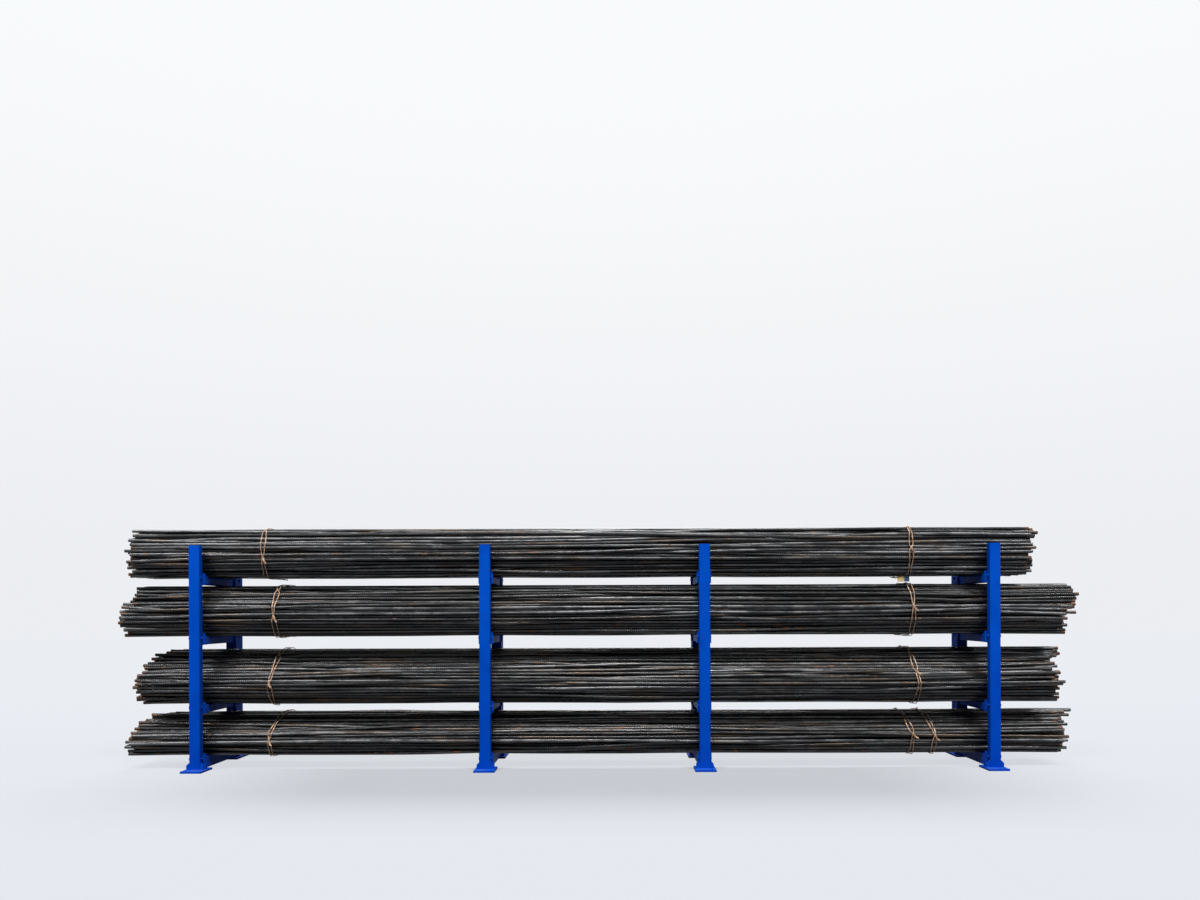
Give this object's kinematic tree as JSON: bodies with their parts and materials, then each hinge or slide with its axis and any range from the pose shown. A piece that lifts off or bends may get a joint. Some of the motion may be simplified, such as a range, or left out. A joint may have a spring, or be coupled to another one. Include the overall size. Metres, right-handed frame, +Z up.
{
  "type": "racked rebar bundles",
  "caption": "Tied bundles of ribbed steel reinforcing bar lying one above another on the arms of a blue painted steel bar rack with anchored feet.",
  "frame": {"origin": "on the floor under the middle of the overall box", "axes": "+X along the bars to the picture's right, +Y from the rack's front to its back, +Z up"},
  "size_m": [6.3744, 0.79, 1.5758],
  "materials": {
    "blue_paint": "semi-gloss blue paint, worn and dusty",
    "bar_steel": "dark rolled mill scale with rust",
    "tie_wire": "rusty annealed wire",
    "tag_sheet": "plain tag"
  },
  "bodies": {
    "root": {"front_post_1": "blue_paint", "rear_post_1": "blue_paint", "front_base_plate_1": "blue_paint", "rear_base_plate_1": "blue_paint", "foot_gussets_1": "blue_paint", "base_beam_1": "blue_paint", "arm_low_1": "blue_paint", "arm_middle_1": "blue_paint", "arm_high_1": "blue_paint", "arm_brackets_1": "blue_paint", "arm_bolts_1": "blue_paint", "front_post_2": "blue_paint", "rear_post_2": "blue_paint", "front_base_plate_2": "blue_paint", "rear_base_plate_2": "blue_paint", "foot_gussets_2": "blue_paint", "base_beam_2": "blue_paint", "arm_low_2": "blue_paint", "arm_middle_2": "blue_paint", "arm_high_2": "blue_paint", "arm_brackets_2": "blue_paint", "arm_bolts_2": "blue_paint", "front_post_3": "blue_paint", "rear_post_3": "blue_paint", "front_base_plate_3": "blue_paint", "rear_base_plate_3": "blue_paint", "foot_gussets_3": "blue_paint", "base_beam_3": "blue_paint", "arm_low_3": "blue_paint", "arm_middle_3": "blue_paint", "arm_high_3": "blue_paint", "arm_brackets_3": "blue_paint", "arm_bolts_3": "blue_paint", "front_post_4": "blue_paint", "rear_post_4": "blue_paint", "front_base_plate_4": "blue_paint", "rear_base_plate_4": "blue_paint", "foot_gussets_4": "blue_paint", "base_beam_4": "blue_paint", "arm_low_4": "blue_paint", "arm_middle_4": "blue_paint", "arm_high_4": "blue_paint", "arm_brackets_4": "blue_paint", "arm_bolts_4": "blue_paint", "post_caps": "blue_paint", "bundle_1_outer_bars": "bar_steel", "bundle_1_inner_bars": "bar_steel", "bundle_1_ties": "tie_wire", "bundle_2_outer_bars": "bar_steel", "bundle_2_inner_bars": "bar_steel", "bundle_2_ties": "tie_wire", "bundle_3_outer_bars": "bar_steel", "bundle_3_inner_bars": "bar_steel", "bundle_3_ties": "tie_wire", "bundle_4_outer_bars": "bar_steel", "bundle_4_inner_bars": "bar_steel", "bundle_4_ties": "tie_wire", "mill_tag": "tag_sheet"}
  },
  "joints": []
}
